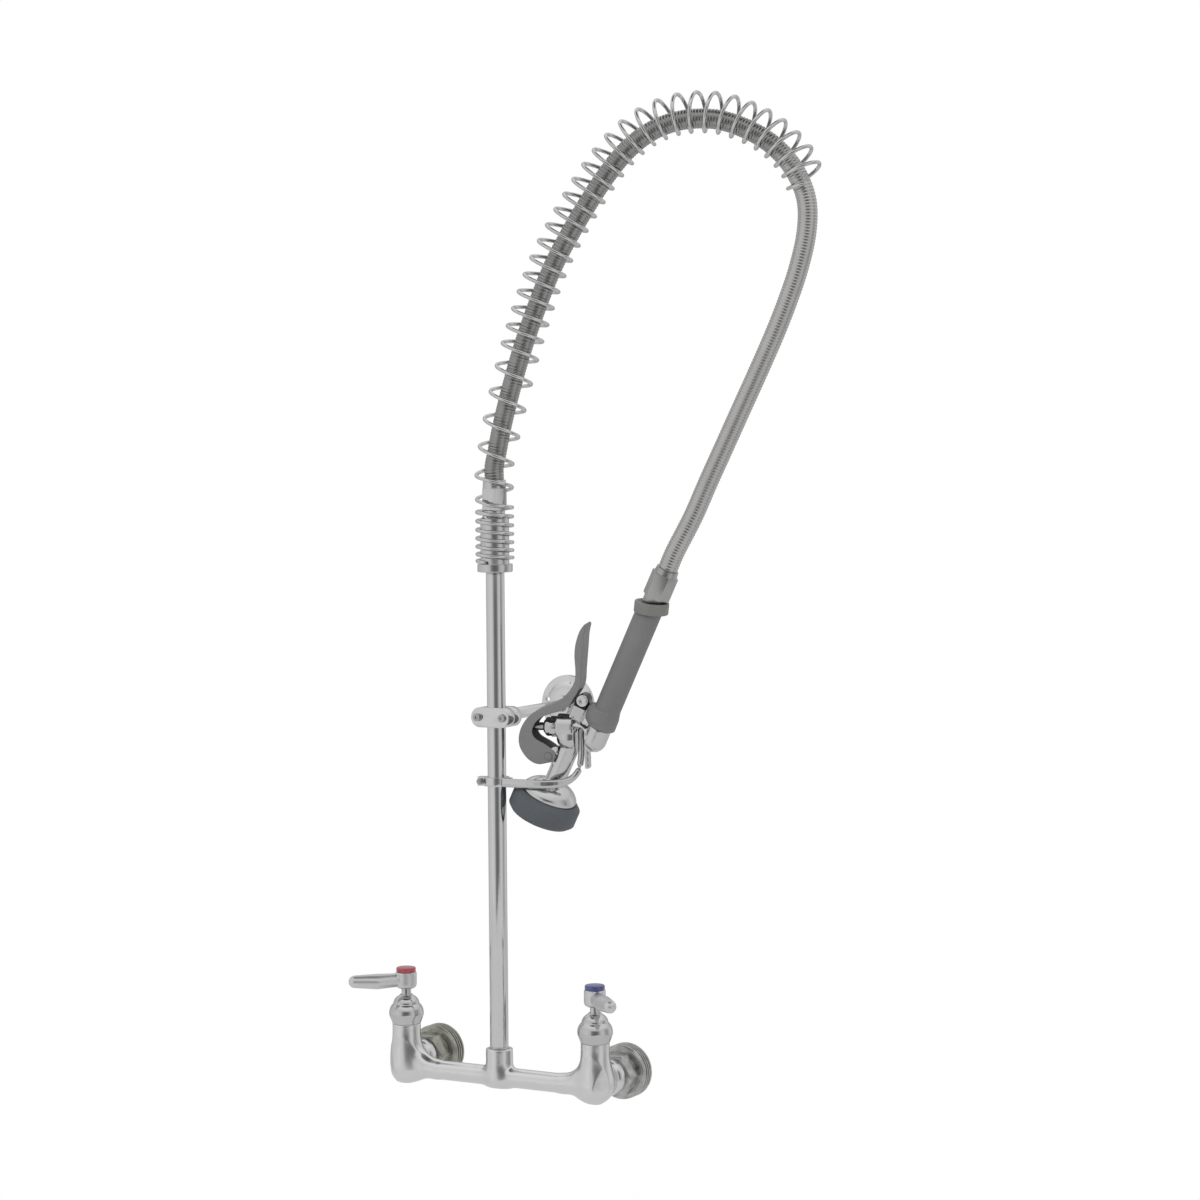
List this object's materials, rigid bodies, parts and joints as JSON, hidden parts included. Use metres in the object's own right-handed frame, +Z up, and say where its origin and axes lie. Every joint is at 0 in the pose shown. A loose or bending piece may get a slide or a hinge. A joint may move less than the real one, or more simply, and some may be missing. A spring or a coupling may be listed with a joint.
{
  "type": "pre rinse faucet",
  "caption": "Wall-mounted chrome pre rinse faucet: two lever valves, riser, spring-guided hose and squeeze-lever spray handset on a finger hook.",
  "frame": {"origin": "midway between the two water inlets, on the wall face of their flanges", "axes": "+X towards the cold side, -Y away from the wall towards the user, +Z up"},
  "size_m": [0.4372, 0.1756, 0.9205],
  "materials": {
    "chrome": "polished",
    "satin_steel": "satin",
    "nickel": "satin",
    "brass": "satin",
    "rubber": "matte",
    "bumper_rubber": "matte",
    "grip_plastic": "matte",
    "lever_coat": "satin",
    "ring_plastic": "matte",
    "red_index": "gloss",
    "blue_index": "gloss"
  },
  "bodies": {
    "body": {"faucet_body": "chrome", "riser": "chrome", "spring_body": "chrome", "spring": "chrome", "hose_nut": "chrome", "hose_washer": "rubber", "hose": "satin_steel", "bracket_flange": "chrome", "bracket_rod": "chrome", "bracket_clamp": "chrome", "bracket_screws": "satin_steel", "finger_hook": "chrome", "hook_clamp": "chrome", "hook_screws": "satin_steel", "hot_inlet_flange": "nickel", "hot_inlet_washer": "rubber", "hot_coupling_nut": "nickel", "hot_bonnet": "chrome", "hot_cartridge": "brass", "hot_seat": "brass", "cold_inlet_flange": "nickel", "cold_inlet_washer": "rubber", "cold_coupling_nut": "nickel", "cold_bonnet": "chrome", "cold_cartridge": "brass", "cold_seat": "brass"},
    "hot_handle": {"hot_spindle": "chrome", "hot_handle": "chrome", "hot_handle_screw": "satin_steel", "hot_index": "red_index"},
    "cold_handle": {"cold_spindle": "chrome", "cold_handle": "chrome", "cold_handle_screw": "satin_steel", "cold_index": "blue_index"},
    "hot_plug": {"hot_plug": "rubber"},
    "cold_plug": {"cold_plug": "rubber"},
    "handset": {"valve_body": "chrome", "head_bonnet": "chrome", "stem_spring": "satin_steel", "spring_seat": "brass", "lever_pin": "satin_steel", "body_screw": "chrome", "spray_gasket": "rubber", "spray_face": "satin_steel", "face_screws": "satin_steel", "bumper": "bumper_rubber", "grip_tube": "brass", "grip": "grip_plastic", "hose_ferrule": "satin_steel", "ferrule_washer": "rubber"},
    "lever": {"squeeze_lever": "lever_coat"},
    "stem": {"valve_stem": "satin_steel", "stem_washer": "rubber"},
    "ring": {"hold_ring": "ring_plastic"}
  },
  "joints": [
    {"name": "hot_handle", "type": "hinge", "parent": "body", "child": "hot_handle", "pos_m": [-0.1016, -0.062, 0.07], "axis": [0, 0, 1], "range_deg": [0, 90]},
    {"name": "cold_handle", "type": "hinge", "parent": "body", "child": "cold_handle", "pos_m": [0.1016, -0.062, 0.07], "axis": [0, 0, 1], "range_deg": [-90, 0]},
    {"name": "hot_plug", "type": "slide", "parent": "body", "child": "hot_plug", "axis": [0, 0, 1], "range_m": [0, 0.0025]},
    {"name": "cold_plug", "type": "slide", "parent": "body", "child": "cold_plug", "axis": [0, 0, 1], "range_m": [0, 0.0025]},
    {"name": "handset", "type": "slide", "parent": "body", "child": "handset", "axis": [-0.2588, 0.9659, 0], "range_m": [0, 0.025]},
    {"name": "squeeze_lever", "type": "hinge", "parent": "handset", "child": "lever", "pos_m": [0.04938, -0.04621, 0.29629], "axis": [-0.2071, 0.9721, 0.1105], "range_deg": [0, 6], "stiffness_Nm_per_rad": 2, "springref_deg": -2.86},
    {"name": "valve_stem", "type": "slide", "parent": "handset", "child": "stem", "axis": [0.978, 0.2087, -0.0029], "range_m": [0, 0.00179]},
    {"name": "hold_ring", "type": "slide", "parent": "handset", "child": "ring", "axis": [-0.4367, 0.0092, -0.8996], "range_m": [0, 0.04]}
  ],
  "couplings": [
    {"joint": "hot_plug", "follows": "hot_handle", "m_per_rad": 0.0015915},
    {"joint": "cold_plug", "follows": "cold_handle", "m_per_rad": -0.0015915},
    {"joint": "valve_stem", "follows": "squeeze_lever", "m_per_rad": 0.017}
  ]
}
